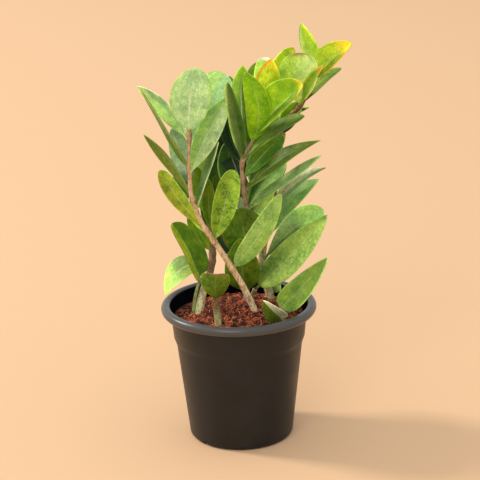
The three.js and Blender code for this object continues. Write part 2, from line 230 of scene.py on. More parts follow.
# Waxy leaflet: a living blade under a thick cuticle. The wax gives a broad soft sheen; whitish streaks,
# partly the wax itself and partly painted sheen, lie over a blotched green with pale pores and dark old
# spots; the midrib is a paler furrow.
leafLook = {
    "blotch": 11,         # mm across one patch of older or fresher green
    "mottle": 3.2,        # mm across the small spots within it
    "streakWide": 1.5, "streakLong": 6,      # mm, whitish streaks of wax and painted sheen that run with the midrib
    "spot": 2.6,          # mm between the dark green spots of older tissue
    "fleck": 1.5,         # mm between the pale pores; real ones are finer than this render shows
    "veins": 9,           # side veins to each half
    "veinSlant": 1.7,
    "pale": "#DDE8BE",    # midrib and veins
    "bloomAndSheen": (1.5, 1.42, 1.8), "haze": (0.02, 0.022, 0.018),    # how whitish wax and painted sheen lighten a streak
    "freshHue": 0.488, "oldHue": 0.514,      # blotches lean to yellow or to blue green
    "lightest": 1.24, "darkest": 0.76,       # of the mottling
    "streaked": 0.65, "pored": 0.5, "veined": 0.1,    # how strongly each of them shows
    "glossy": 0.34, "dull": 0.52,            # roughness
}


def leafMaterial():
    look = leafLook
    material, shader, add = newMaterial("waxy_leaflet_grown", IOR=1.45, Specular_IOR_Level=0.17,
                                        Coat_Weight=0.03, Coat_Roughness=0.35)
    painted = add("Attribute", attribute_name="tint")
    place = add("TexCoord").outputs["Object"]
    uv = add("UVMap", uv_map="UVMap")
    split = add("SeparateXYZ", {"Vector": uv})
    along = split.outputs["Y"]
    off = add("Math", {0: split.outputs["X"], 1: 0.5}, operation="SUBTRACT")
    across = add("Math", {0: off}, operation="ABSOLUTE")

    # patches of older and fresher green, mottled lighter and darker
    blotch = add("TexNoise", {"Vector": place, "Scale": 1000 / look["blotch"], "Detail": 3,
                 "Roughness": 0.6})
    lean = add("MapRange", {"Value": blotch, 1: 0.35, 2: 0.65, 3: look["freshHue"], 4: look["oldHue"]})
    hued = add("HueSaturation", {"Hue": lean, "Color": painted})
    mottle = add("TexNoise", {"Vector": place, "Scale": 1000 / look["mottle"], "Detail": 4,
                 "Roughness": 0.65})
    mixed = add("Math", {0: mottle, 1: 0.7, 2: blotch}, operation="MULTIPLY_ADD")
    shade = add("MapRange", {"Value": mixed, 1: 0.62, 2: 1.08, 3: look["lightest"], 4: look["darkest"]})
    toned = add("VectorMath", {0: hued, "Scale": shade}, operation="SCALE")

    # whitish wax and painted sheen in streaks along the blade
    drawn = (leafBlank["width"] / look["streakWide"], leafBlank["length"] / look["streakLong"], 1)
    laid = add("Mapping", {"Vector": uv, "Scale": drawn})
    drift = add("VectorMath", {0: place, 1: (60, 60, 60), 2: laid}, operation="MULTIPLY_ADD")
    streaks = add("TexNoise", {"Vector": drift, "Scale": 1, "Detail": 3, "Roughness": 0.7})
    streak = add("MapRange", {"Value": streaks, 1: 0.46, 2: 0.7, 3: 0, 4: look["streaked"]})
    # painted sheen: the streaks lighten the green, partly as the wax's own whitening
    waxedAndSheened = add("VectorMath", {0: toned, 1: look["bloomAndSheen"], 2: look["haze"]}, operation="MULTIPLY_ADD")
    bloomAndSheen = add("Mix", {"Factor": streak, 6: toned, 7: waxedAndSheened}, data_type="RGBA")

    # dark spots, as strong as each leaf's own "spotting" says
    spots = add("TexNoise", {"Vector": place, "Scale": 1000 / look["spot"], "Detail": 2})
    within = add("Math", {0: blotch, 1: 0.8, 2: spots}, operation="MULTIPLY_ADD")
    aged = add("Attribute", attribute_name="spotting").outputs["Fac"]
    deep = add("Math", {0: aged, 1: -0.5, 2: 1}, operation="MULTIPLY_ADD")
    spot = add("MapRange", {"Value": within, 1: 0.94, 2: 1.08, 3: 1.04, 4: deep})
    spotted = add("VectorMath", {0: bloomAndSheen, "Scale": spot}, operation="SCALE")

    # side veins
    slant = add("Math", {0: across, 1: -look["veinSlant"] * 2, 2: along}, operation="MULTIPLY_ADD")
    comb = add("Math", {0: slant, 1: look["veins"]}, operation="MULTIPLY")
    ridge = add("Math", {0: comb, 1: 0.5}, operation="PINGPONG")
    vein = add("MapRange", {"Value": ridge, 1: 0.0, 2: 0.12, 3: 1, 4: 0})
    veinShare = add("Math", {0: vein, 1: look["veined"]}, operation="MULTIPLY")
    veined = add("Mix", {"Factor": veinShare, 6: spotted, 7: linear(look["pale"])}, data_type="RGBA")

    # pale pores
    pores = add("TexVoronoi", {"Vector": place, "Scale": 1000 / look["fleck"]})
    pore = add("MapRange", {"Value": pores, 1: 0.12, 2: 0.34, 3: look["pored"], 4: 0})
    lighter = add("VectorMath", {0: veined, "Scale": 1.9}, operation="SCALE")
    flecked = add("Mix", {"Factor": pore, 6: veined, 7: lighter}, data_type="RGBA")

    # the midrib, fading to the tip, as pale as the tint's alpha says
    rib = add("MapRange", {"Value": across, 1: 0.004, 2: 0.03, 3: 1, 4: 0})
    fade = add("MapRange", {"Value": along, 1: 0.5, 2: 0.95, 3: 1, 4: 0})
    ribShare = add("Math", {0: rib, 1: fade}, operation="MULTIPLY")
    ribTone = add("Math", {0: ribShare, 1: painted.outputs["Alpha"]}, operation="MULTIPLY")
    ribbed = add("Mix", {"Factor": ribTone, 6: flecked, 7: linear(look["pale"])}, data_type="RGBA")
    plug(shader, "Base Color", ribbed)

    gloss = add("MapRange", {"Value": mottle, 1: 0.3, 2: 0.7, 3: look["glossy"], 4: look["dull"]})
    plug(shader, "Roughness", gloss)
    height = add("Math", {0: vein, 1: -0.4, 2: mottle}, operation="MULTIPLY_ADD")
    bump = add("Bump", {"Height": height, "Strength": 0.4, "Distance": 0.3 * mm})
    plug(shader, "Normal", bump)
    return material


# Stem skin: smooth green flesh that turns to thin tan cork in patches, with red-brown lines up its
# length; dull all over.
stemLook = {
    "patch": 3.1, "grain": 0.9,          # mm across the cork patches and the fine grain
    "streakWide": 0.9, "streakLong": 9,  # mm, red-brown lines that run up the stem
    "cork": "#8A5A32", "pale": "#E2CFA8", "line": "#7A3E20",
    "scar": "#7A4A28",                   # under each leaflet's joint
    "corked": 0.55, "lined": 0.7, "paled": 0.4,    # how strongly each of them shows
}


def stemMaterial():
    look = stemLook
    material, shader, add = newMaterial("stem_skin_corky", Roughness=0.6, IOR=1.45)
    tint = add("Attribute", attribute_name="tint")
    place = add("TexCoord").outputs["Object"]
    tall = add("Mapping", {"Vector": place, "Scale": (1, 1, 0.4)})
    patches = add("TexNoise", {"Vector": tall, "Scale": 1000 / look["patch"], "Detail": 3,
                  "Roughness": 0.55})
    patch = add("MapRange", {"Value": patches, 1: 0.53, 2: 0.64, 3: 0, 4: look["corked"]})
    brown = add("Mix", {"Factor": patch, 6: tint, 7: linear(look["cork"])}, data_type="RGBA")
    drawn = (1000 / look["streakWide"], 1000 / look["streakWide"], 1000 / look["streakLong"])
    lines = add("Mapping", {"Vector": place, "Scale": drawn})
    streaks = add("TexNoise", {"Vector": lines, "Scale": 1, "Detail": 2})
    streak = add("MapRange", {"Value": streaks, 1: 0.53, 2: 0.62, 3: 0, 4: look["lined"]})
    lined = add("Mix", {"Factor": streak, 6: brown, 7: linear(look["line"])}, data_type="RGBA")
    grain = add("TexNoise", {"Vector": place, "Scale": 1000 / look["grain"], "Detail": 3})
    pale = add("MapRange", {"Value": grain, 1: 0.54, 2: 0.66, 3: 0, 4: look["paled"]})
    flaked = add("Mix", {"Factor": pale, 6: lined, 7: linear(look["pale"])}, data_type="RGBA")
    plug(shader, "Base Color", flaked)
    bump = add("Bump", {"Height": grain, "Strength": 0.5, "Distance": 0.3 * mm})
    plug(shader, "Normal", bump)
    return material


pot = {
    "height": 117, "lip": 65, "roll": 4.1, "wall": 1.5, "floor": 2,
    "base": 43.8, "corner": 4, "stepHeight": 83.5, "stepRise": 4.5,
    "bodyTop": 52.9, "band": 55, "bandTopHeight": 98, "bandTop": 55.9,
    "sides": 128, "cornerSteps": 6, "rollSteps": 14,
    "slots": 3, "slotTurn": 225, "slotWidth": 6, "slotHeight": 3,
    "holes": 6, "holeRadius": 4, "holeCircle": 24,
}


# Nursery pot: black polypropylene, injection moulded. Thin and matte, with light scuffs and dust
# from handling; the rolled lip is smoother and greyed by a painted highlight, and the wall inside
# loses its reflection near the top, as painted shade.
potLook = {
    "cloud": 22,          # mm across one patch of dust
    "skin": 1.1,          # mm, the mould's grain; the real one is too fine for this render
    # lip = the rolled lip's grey, a painted highlight for light on its top
    "black": "#07090D", "dust": "#22252B", "lip": "#484848",
    "highlightFrom": 108, "highlightFull": 110.5,    # mm up, where the painted highlight on the lip comes in
    "lean": 0.161,        # mm out for each mm up, of a line between the wall's two faces
    "inner": 39.0, "outer": 39.6,        # mm, that line's radius at the foot, on each face
    "paintedShadeFrom": 98,       # mm up, from where the inner wall loses its reflection: painted shade in the pot's mouth
    "rough": (0.36, 0.5), "rubbed": 0.14, "sheen": 0.42,
}


def potMaterial():
    look = potLook
    material, shader, add = newMaterial("polypropylene_moulded_black", IOR=1.49)
    place = add("TexCoord").outputs["Object"]
    cloud = add("TexNoise", {"Vector": place, "Scale": 1000 / look["cloud"], "Detail": 5,
                "Roughness": 0.6})
    dust = add("MapRange", {"Value": cloud, 1: 0.4, 2: 0.75, 3: 0, 4: 0.3})
    dusty = add("Mix", {"Factor": dust, 6: linear(look["black"]), 7: linear(look["dust"])},
                data_type="RGBA")

    # which face of the wall, told by the radius less the lean
    high = add("SeparateXYZ", {"Vector": place}).outputs["Z"]
    level = add("VectorMath", {0: place, 1: (1, 1, 0)}, operation="MULTIPLY")
    reach = add("VectorMath", {0: level}, operation="LENGTH")
    lean = add("Math", {0: high, 1: -look["lean"], 2: reach}, operation="MULTIPLY_ADD")
    outside = add("MapRange", {"Value": lean, 1: look["inner"] * mm, 2: look["outer"] * mm, 3: 0, 4: 1})
    # painted highlight: the lip's top is greyed, on its outer face only
    rolled = add("MapRange", {"Value": high, 1: look["highlightFrom"] * mm, 2: look["highlightFull"] * mm, 3: 0,
                 4: 0.9})
    lip = add("Math", {0: rolled, 1: outside}, operation="MULTIPLY")
    dustAndLipHighlight = add("Mix", {"Factor": lip, 6: dusty, 7: linear(look["lip"])}, data_type="RGBA")
    plug(shader, "Base Color", dustAndLipHighlight)

    rough, rougher = look["rough"]
    gloss = add("MapRange", {"Value": cloud, 1: 0.3, 2: 0.7, 3: rough, 4: rougher})
    smoothed = add("Math", {0: lip, 1: -look["rubbed"], 2: gloss}, operation="MULTIPLY_ADD")
    plug(shader, "Roughness", smoothed)
    # painted shade: the inner wall near the top has its reflection taken away
    below = add("MapRange", {"Value": high, 1: (look["paintedShadeFrom"] - 1) * mm, 2: look["paintedShadeFrom"] * mm,
                3: 1, 4: 0})
    shown = add("Math", {0: outside, 1: below}, operation="MAXIMUM")
    sheen = add("Math", {0: shown, 1: look["sheen"]}, operation="MULTIPLY")
    plug(shader, "Specular IOR Level", sheen)
    skin = add("TexNoise", {"Vector": place, "Scale": 1000 / look["skin"], "Detail": 2})
    bump = add("Bump", {"Height": skin, "Strength": 0.15, "Distance": 0.2 * mm})
    plug(shader, "Normal", bump)
    return material


# Coir potting mix: husk fibre and dust, teased and dried. Dull and rust-red; its near-black gaps are
# painted shade. Dull, rust-red with near-black gaps.
coirLook = {
    "grain": 1.1, "clump": 5.5,                        # mm across
    "grainShade": (0.35, 1.8), "clumpShade": (0.08, 2.3),    # darkest and lightest of each
}


def coirMaterial():
    look = coirLook
    material, shader, add = newMaterial("coir_fibre_teased", Roughness=0.92, IOR=1.4)
    tint = add("Attribute", attribute_name="tint")
    place = add("TexCoord").outputs["Object"]
    grain = add("TexNoise", {"Vector": place, "Scale": 1000 / look["grain"], "Detail": 4})
    dark, light = look["grainShade"]
    shade = add("MapRange", {"Value": grain, 1: 0.35, 2: 0.65, 3: dark, 4: light})
    clumps = add("TexNoise", {"Vector": place, "Scale": 1000 / look["clump"], "Detail": 4,
                 "Roughness": 0.65})
    dark, light = look["clumpShade"]
    clump = add("MapRange", {"Value": clumps, 1: 0.41, 2: 0.6, 3: dark, 4: light})
    both = add("Math", {0: shade, 1: clump}, operation="MULTIPLY")
    toned = add("VectorMath", {0: tint, "Scale": both}, operation="SCALE")
    plug(shader, "Base Color", toned)
    bump = add("Bump", {"Height": grain, "Strength": 0.6, "Distance": 0.4 * mm})
    plug(shader, "Normal", bump)
    return material


# Rhizome: tuber skin as dug up, pale brown, ringed and dull.
rhizomeLook = {
    "ring": 5.34,    # mm from ring to ring
    "brown": "#A8875A", "pale": "#C9AE7E",
}


def rhizomeMaterial():
    look = rhizomeLook
    material, shader, add = newMaterial("tuber_skin_grown", Roughness=0.8, IOR=1.4)
    place = add("TexCoord").outputs["Object"]
    bands = 20 / math.tau      # that a wave of scale 1 draws to the metre
    rings = add("TexWave", {"Vector": place, "Scale": 1000 / look["ring"] / bands, "Distortion": 3,
                "Detail": 2}, bands_direction="Z")
    ringed = add("Mix", {"Factor": rings.outputs["Fac"], 6: linear(look["brown"]),
                 7: linear(look["pale"])}, data_type="RGBA")
    plug(shader, "Base Color", ringed)
    return material


leafSkin = leafMaterial()
stemSkin = stemMaterial()
potPlastic = potMaterial()
coir = coirMaterial()
tuberSkin = rhizomeMaterial()
print("materials made")


def arcPoints(radius, height, size, start, end, steps):
    turns = [math.radians(start + (end - start) * i / steps) for i in range(steps + 1)]
    return [(radius + size * math.cos(a), height + size * math.sin(a)) for a in turns]


def potProfile():
    # up the outside, round the lip and down the inside: (radius, height) in mm
    p = pot
    rollRadius = p["lip"] - p["roll"]
    rollHeight = p["height"] - p["roll"]
    outside = arcPoints(p["base"] - p["corner"], p["corner"], p["corner"], -90, -5, p["cornerSteps"])
    outside += [(p["bodyTop"], p["stepHeight"]), (p["bodyTop"] + 0.5, p["stepHeight"] + 0.3)]
    outside += [(p["band"] - 0.4, p["stepHeight"] + p["stepRise"] - 0.3)]
    outside += [(p["band"], p["stepHeight"] + p["stepRise"] + 0.4), (p["bandTop"], p["bandTopHeight"])]
    lip = arcPoints(rollRadius, rollHeight, p["roll"] - p["wall"], 180, -50, p["rollSteps"])
    lip += arcPoints(rollRadius, rollHeight, p["roll"], -50, 180, p["rollSteps"])
    w = p["wall"]
    inside = [(p["bandTop"] - w, p["bandTopHeight"]), (p["band"] - w, p["stepHeight"] + p["stepRise"])]
    inside += [(p["bodyTop"] - w, p["stepHeight"]), (p["base"] - w, p["floor"] + p["corner"] / 2)]
    inside += [(p["base"] - w - p["corner"] / 2, p["floor"])]
    return outside + lip + inside


def spinUp(points, sides):
    # a disc, drawn up ring by ring into a closed turned shape
    deselect()
    radius, height = points[0]
    bpy.ops.mesh.primitive_circle_add(vertices=sides, radius=radius * mm, fill_type="NGON",
                                      location=(0, 0, height * mm))
    made = bpy.context.object
    bpy.ops.object.transform_apply(location=True)
    bpy.ops.object.mode_set(mode="EDIT")
    bpy.ops.mesh.select_all(action="SELECT")
    for wide, high in points[1:]:
        bpy.ops.mesh.extrude_region_move(
            TRANSFORM_OT_translate={"value": (0, 0, (high - height) * mm)})
        share = wide / radius
        bpy.ops.transform.resize(value=(share, share, 1))
        radius, height = wide, high
    bpy.ops.mesh.select_all(action="SELECT")
    bpy.ops.mesh.normals_make_consistent(inside=False)
    bpy.ops.object.mode_set(mode="OBJECT")
    return made


def cutAway(target):
    # takes the primitive that was just added out of the target
    cutter = bpy.context.object
    applyModifier(target, "BOOLEAN", object=cutter, operation="DIFFERENCE", solver="EXACT")
    bpy.data.objects.remove(cutter)


def makePot():
    made = spinUp(potProfile(), pot["sides"])
    for hole in range(pot["holes"]):
        angle = math.tau * (hole + 0.5) / pot["holes"]
        deselect()
        bpy.ops.mesh.primitive_cylinder_add(vertices=32, radius=pot["holeRadius"] * mm,
                                            depth=6 * pot["floor"] * mm,
                                            location=around(pot["holeCircle"], angle))
        cutAway(made)
    for slotNumber in range(pot["slots"]):
        angle = math.radians(pot["slotTurn"] + 360 / pot["slots"] * slotNumber)
        size = Vector((3 * pot["corner"], pot["slotWidth"], 2 * pot["slotHeight"])) * mm
        deselect()
        bpy.ops.mesh.primitive_cube_add(size=1, location=around(pot["base"], angle),
                                        rotation=(0, 0, angle), scale=size)
        cutAway(made)
    finishPiece(made, "nursery_pot", potPlastic, "pot")
    select(made)
    bpy.ops.object.shade_smooth_by_angle(angle=math.radians(32))


makePot()


soil = {
    "level": 104.5, "mound": 5, "gap": 0.3, "sides": 180, "rings": 44,
    "lumps": ((14, 4.0), (6, 4.2), (2.6, 2.2)),   # mm across and mm high, coarse to fine
    "hollowShade": "#100604", "crest": "#7C3A24", "depth": (-2.2, 2.4),    # tones: painted shade in the hollows and the mix's rust on the crests; and mm off the mound
    "crumbs": 900, "crumbSize": (1.0, 3.0),       # mm
    "fibres": 900, "fibreLong": 9, "fibreThick": 0.17, "fibreKnots": 8,
    "specks": 7, "speckSize": (0.8, 1.5), "speckTone": "#E8DCD0",
    "crumbTones": ("#4A1E10", "#6E301C", "#8A4228", "#B06C4A", "#260E08"),
    "fibreTones": ("#8E4A30", "#BC7854", "#5A2818", "#9E5838"),
    "seed": 7,
}


def soilHeight(x, y):
    # mm, the even mound that the relief is laid over
    reach = math.hypot(x, y) / pot["band"]
    return soil["level"] + soil["mound"] * max(0.0, 1 - reach * reach)


def makeSoil():
    # the pot's inside, filled, with a mounded top of fine rings
    inset = pot["wall"] + soil["gap"]
    rim = pot["bandTop"] - inset + 1
    profile = [(pot["base"] - inset - pot["corner"] / 2, pot["floor"] + soil["gap"])]
    profile += [(pot["base"] - inset, pot["floor"] + pot["corner"] / 2)]
    profile += [(pot["bodyTop"] - inset, pot["stepHeight"])]
    profile += [(pot["band"] - inset, pot["stepHeight"] + pot["stepRise"])]
    profile += [(pot["bandTop"] - inset, pot["bandTopHeight"]), (rim, soil["level"])]
    made = spinUp(profile, soil["sides"])
    select(made)
    bpy.ops.object.mode_set(mode="EDIT")
    pick(lambda p: p.z > (soil["level"] - 0.1) * mm and p.xy.length < mm, "faces")
    for _ in range(soil["rings"]):
        bpy.ops.mesh.inset(thickness=rim * mm / (soil["rings"] + 1))
    bpy.ops.mesh.poke()
    bpy.ops.object.mode_set(mode="OBJECT")
    group = made.vertex_groups.new(name="top")
    for vertex in made.data.vertices:
        x, y, z = vertex.co / mm
        inner = (rim - math.hypot(x, y)) / 2
        if z > soil["level"] - 0.1 and inner > 0.01:
            vertex.co.z = soilHeight(x, y) * mm
            group.add([vertex.index], min(1.0, inner), "REPLACE")
    for number, (across, high) in enumerate(soil["lumps"]):
        texture = bpy.data.textures.new(f"coirLumps{number}", "CLOUDS")
        texture.noise_scale = across * mm
        applyModifier(made, "DISPLACE", texture=texture, strength=high * mm, mid_level=0.5,
                      direction="Z", vertex_group="top", texture_coords="LOCAL")
    # painted shade: the mix darkens to near-black where it lies below its mound
    places = readPoints(made.data, "co") / mm
    even = np.array([soilHeight(x, y) for x, y in places[:, :2]])
    share = ease(places[:, 2] - even, *soil["depth"])[:, None]
    paint(made.data, linear(soil["hollowShade"]) * (1 - share) + linear(soil["crest"]) * share)
    return made


def modelCrumb(rng):
    deselect()
    bpy.ops.mesh.primitive_ico_sphere_add(subdivisions=1, radius=0.5 * mm)
    crumb = bpy.context.object
    for vertex in crumb.data.vertices:
        vertex.co *= rng.uniform(0.6, 1.2)
    return crumb


def modelFibre():
    # a curl that thins towards both ends
    shares = [number / (soil["fibreKnots"] - 1) for number in range(soil["fibreKnots"])]
    curl = [Vector(((t - 0.5) * soil["fibreLong"], math.sin(t * 7) * 1.3, math.cos(t * 5) * 0.9)) * mm
            for t in shares]
    return tubeAlong(curl, [1 - 0.5 * abs(2 * t - 1) for t in shares],
                     bevel_depth=soil["fibreThick"] * mm, bevel_resolution=0)


def makeCrumbs(ground):
    # crumbs, curly fibres and a few pale specks, copied over the mix
    rng = random.Random(soil["seed"])
    crumb = modelCrumb(rng)
    fibre = modelFibre()
    finder = finderOf([vertex.co for vertex in ground.data.vertices])
    reach = pot["bandTop"] - pot["wall"] - 2
    parts = []

    def lay(master, size, inner, lift=0, tilt=(0, math.tau)):
        far = reach * inner * math.sqrt(rng.random())
        turn = rng.uniform(0, math.tau)
        x, y = far * math.cos(turn), far * math.sin(turn)
        near, _, _ = finder.find((x * mm, y * mm, soilHeight(x, y) * mm))
        spin = Euler((rng.uniform(0, math.tau), rng.uniform(*tilt), rng.uniform(0, math.tau)))
        spot = Matrix.Translation((x * mm, y * mm, near.z + lift * mm))
        parts.append(copyOf(master, spot @ spin.to_matrix().to_4x4() @ Matrix.Diagonal((*size, 1))))
        return parts[-1].data

    for _ in range(soil["crumbs"]):
        big = rng.uniform(*soil["crumbSize"])
        made = lay(crumb, (big, big * rng.uniform(0.4, 1), big * rng.uniform(0.3, 0.8)), 0.98)
        paint(made, linear(rng.choice(soil["crumbTones"])) * rng.uniform(0.8, 1.2))
    for _ in range(soil["fibres"]):
        size = (rng.uniform(0.5, 1.2), rng.uniform(0.8, 2.0), rng.uniform(0.8, 1.8))
        made = lay(fibre, size, 0.93, lift=0.8, tilt=(-0.35, 0.35))
        paint(made, linear(rng.choice(soil["fibreTones"])))
    for _ in range(soil["specks"]):
        made = lay(crumb, [rng.uniform(*soil["speckSize"])] * 3, 0.9, lift=0.6)
        paint(made, linear(soil["speckTone"]))
    bpy.data.objects.remove(crumb)
    bpy.data.objects.remove(fibre)
    return joined(parts, "coir_crumbs")


soilPiece = makeSoil()
crumbsPiece = makeCrumbs(soilPiece)
finishPiece(soilPiece, "coir_mix", coir, "soil")
finishPiece(crumbsPiece, "coir_crumbs", coir, "soil")


def outlineAt(station, wide, heel, nose):
    # half width at each station from the stalk (0) to the tip (1), as a share of the widest
    b = leafBlank
    along = np.clip((np.asarray(station, float) - b["stalkEnd"]) / (1 - b["stalkEnd"]), 0, 1)
    broadest = heel / (heel + nose)
    oval = along ** heel * (1 - along) ** nose / (broadest ** heel * (1 - broadest) ** nose)
    least = np.where(along < broadest, b["stalkHalf"], b["tipHalf"]) / (wide / 2)
    return np.maximum(oval, least)


def blankOutline(station):
    b = leafBlank
    return outlineAt(station, b["width"], b["heel"], b["nose"])


def modelLeaflet():
    # one flat blade with a furrow, a thin edge and a thicker stalk, which every leaf is bent from
    b = leafBlank
    long, wide = b["length"] * mm, b["width"] * mm
    deselect()
    bpy.ops.mesh.primitive_grid_add(x_subdivisions=b["columns"], y_subdivisions=b["rows"], size=1)
    made = bpy.context.object
    bpy.ops.object.mode_set(mode="EDIT")
    bpy.ops.mesh.select_all(action="SELECT")
    bpy.ops.transform.resize(value=(wide, long, 1))
    bpy.ops.transform.translate(value=(0, long / 2, 0))
    for row in range(b["rows"] + 1):
        y = long * row / b["rows"]
        pick(lambda p: abs(p.y - y) < 0.01 * mm)
        bpy.ops.transform.resize(value=(float(blankOutline(row / b["rows"])), 1, 1))
    pick(lambda p: abs(p.x) < tiny and p.y > 2 * b["stalkEnd"] * long)
    bpy.ops.transform.translate(value=(0, 0, -b["groove"] * mm))
    bpy.ops.object.mode_set(mode="OBJECT")
    applyModifier(made, "SOLIDIFY", thickness=b["blade"] * mm, offset=0)
    select(made)
    bpy.ops.object.mode_set(mode="EDIT")
    pick(lambda p: p.y < 1.6 * b["stalkEnd"] * long)
    bpy.ops.transform.resize(value=(1, 1, b["stalkSwell"]))
    pick(lambda p: abs(p.x) > 0.97 * wide / 2 * blankOutline(p.y / long) and p.y > 0.2 * long)
    bpy.ops.transform.resize(value=(1, 1, b["edgeShare"]))
    bpy.ops.object.mode_set(mode="OBJECT")
    applyModifier(made, "SUBSURF", levels=1, render_levels=1)
    return made


leaflet = modelLeaflet()
print("leaflet modelled:", len(leaflet.data.polygons), "faces")

# The tones that the leaves share. Many hold painted light and shade, as they were matched to lit and
# shaded leaves; the near-black green is painted shade for leaves deep among the others.
leafTones = {
    "cream": "#E9EDB4", "pale": "#AEDE66", "gold": "#E4C81A", "rust": "#B86A28", "bark": "#8A5A3C",
    "lemon": "#DCEE2B", "lime": "#8ABC07", "chartreuse": "#A2C020", "rim": "#9CCB62", "sage": "#85AB4E",
    "husk": "#8C8A50", "back": "#9DBF86", "pear": "#ACD949", "olive": "#808D10", "sorrel": "#6D901A",
    "forest": "#467507", "thyme": "#7F9839", "laurel": "#4D7309", "mint": "#A5CF8A", "jade": "#7DA344",
    "pine": "#80AC07", "pea": "#85B032", "mist": "#CFE764", "leaf": "#7D9F08", "apple": "#89B65A",
    "paintedShade": "#0A2D07", "bean": "#698A29", "basil": "#526C07", "khaki": "#88A323", "ivy": "#96BB3E",
    "moss": "#5A7907", "celery": "#ADE67A", "cress": "#6D7326", "teal": "#7B974D", "grass": "#638507",
    "myrtle": "#567533", "hay": "#C7EC82", "avocado": "#465D1D", "palm": "#A0B707", "willow": "#90B266",
    "bottle": "#2D5709", "fern": "#709C43", "silver": "#91AF6F", "leek": "#A6CC5C", "clover": "#78AB07",
    "haze": "#82AC50", "amber": "#DE9A26",
}
toneOf = {name: linear(text) for name, text in leafTones.items()}

# Each frond: stem = points up its middle in mm; radius = the stem's at its foot and its top, in mm;
# bark = the stem's tones low, midway and high.
# Each leaf: its place on the stem, 0 to 1; its tip and its width in mm; the tones of its left and
# right half, seen from base to tip, which differ mostly by painted light and shade, one half lit and
# the other shaded; turn = degrees about its own length from facing the front; fold = degrees that its
# halves stand up; arch = mm that its middle rises, and bow = mm that it swings to its right; twist =
# degrees from base to tip; heel and nose blunt its two ends; end = the tip's tone, from endFrom on;
# leftRim and rightRim = an edge's tone, rimWide mm in, and an edge without one is lightened, partly a
# pale margin and partly painted rim light; rib = how pale the midrib is, and spots = how dark the old
# spots are, both 0 to 1.
usualLeaf = {
    "turn": 0, "fold": 8, "arch": 3, "bow": 0, "twist": 0,
    "heel": leafBlank["heel"], "nose": leafBlank["nose"], "rib": 0.3, "spots": 0.2, "rimWide": 1.3,
}


def leafAt(at, tip, wide, left, right=None, **more):
    return {**usualLeaf, "at": at, "tip": tip, "wide": wide, "left": left, "right": right or left, **more}


fronds = {}
fronds["frond_front"] = dict(
    # the low bark tone is paler than the stem's own tan: painted light on the stem's lit foot
    slot="leaf_front", radius=(3.2, 1.35), bark=("#F6DDB0", "#E2BE92", "#C29C74"),
    stem=[(19, 0, 76), (15, -3, 103), (5, -8, 131), (-14, -13, 167), (-29, -16, 193), (-36, -16, 215),
          (-37, -14, 240), (-36, -12, 271)],
    leaves=[
        leafAt(0.38, (36, -36, 221), 18, "sage", "jade", arch=4, bow=3.3, heel=0.45, nose=0.55,
               spots=0.35),
        leafAt(0.52, (-2, -36, 242), 20, "sorrel", "pea", turn=5, fold=10, bow=0.8, heel=0.6, nose=0.4,
               spots=0.9),
        leafAt(0.56, (-46, -17, 213), 7, "ivy", "khaki", fold=10, arch=0, bow=-0.5, heel=0.4, nose=0.8),
        leafAt(0.58, (-61, -22, 239), 14, "olive", "khaki", fold=12, arch=0, bow=-2.2, heel=0.8,
               nose=0.45, spots=0.4),
        leafAt(0.67, (-13, -2, 256), 13, "myrtle", "willow", turn=-60, fold=22, arch=0,
               rightRim="cream"),
        leafAt(0.71, (-50, 8, 232), 12, "bottle", "avocado", turn=-10, arch=-3, heel=0.6, nose=0.5),
        leafAt(0.72, (-74, 4, 262), 22, "basil", turn=-70, fold=15, arch=-4.5),
        leafAt(0.77, (-52, 30, 260), 20, "avocado", "bottle", turn=165),
        leafAt(0.81, (-4, -20, 298), 20, "fern", "silver", turn=-5, arch=4, bow=-1.2, heel=0.85,
               rimWide=1.6),
        leafAt(0.83, (-76, 12, 299), 22, "laurel", "cress", turn=-75, fold=10, arch=-1, twist=25,
               leftRim="rim", rib=0.5),
        leafAt(0.95, (-79, 22, 298), 21, "hay", "mint", turn=-55, fold=12, arch=-5, rightRim="cream",
               rib=0.2),
        leafAt(0.96, (-7, 14, 309), 29, "hay", "mint", turn=10, fold=6, arch=-3, bow=-1, heel=0.75,
               nose=0.4, leftRim="rim", rimWide=2.2, rib=0.5, spots=0),
        leafAt(0.98, (-28, -30, 324), 33, "mint", fold=5, arch=2, bow=-2.5, heel=0.55, nose=0.5,
               leftRim="rim", rightRim="rim", rimWide=2.8, rib=0.8, spots=0),
    ],
)
fronds["frond_back_left"] = dict(
    slot="leaf_back_left", radius=(4.1, 1.5), bark=("#D4D29C", "#80684A", "#6B5A40"),
    stem=[(-28, 2, 80), (-33, 0, 107), (-29, 8, 125), (-23, 16, 140), (-21, 21, 153), (-24, 30, 184),
          (-27, 37, 213), (-28, 42, 237)],
    leaves=[
        leafAt(0.44, (-62, 14, 119), 25, "thyme", "teal", turn=42, fold=10, arch=14.5, heel=0.6,
               nose=0.7, end="pale", endFrom=0.6),
        leafAt(0.48, (-40, 10, 193), 15, "leaf", turn=20, fold=12, arch=-3, bow=0.8, heel=0.7, nose=0.6),
        leafAt(0.53, (-18, 36, 232), 22, "bottle", "basil", turn=5, arch=-2, heel=0.6, nose=0.6),
        leafAt(0.59, (-23, 12, 222), 12, "moss", turn=10, fold=10, arch=-2),
        leafAt(0.64, (-3, 72, 200), 20, "basil", "avocado", turn=150, arch=4),
        leafAt(0.67, (-34, 22, 229), 17, "pea", "grass", turn=15, arch=-2, heel=0.6, nose=0.6),
        leafAt(0.79, (-42, 78, 237), 20, "avocado", "grass", turn=170, arch=4),
        leafAt(0.83, (-18, 38, 255), 22, "leek", "bottle", arch=2),
        leafAt(0.85, (-9, 74, 228), 20, "avocado", "basil", turn=160, arch=4),
        leafAt(0.93, (-37, 70, 269), 20, "grass", "avocado", turn=160),
        leafAt(0.99, (-23, 40, 282), 20, "forest", "paintedShade", turn=20, arch=2),
    ],
)
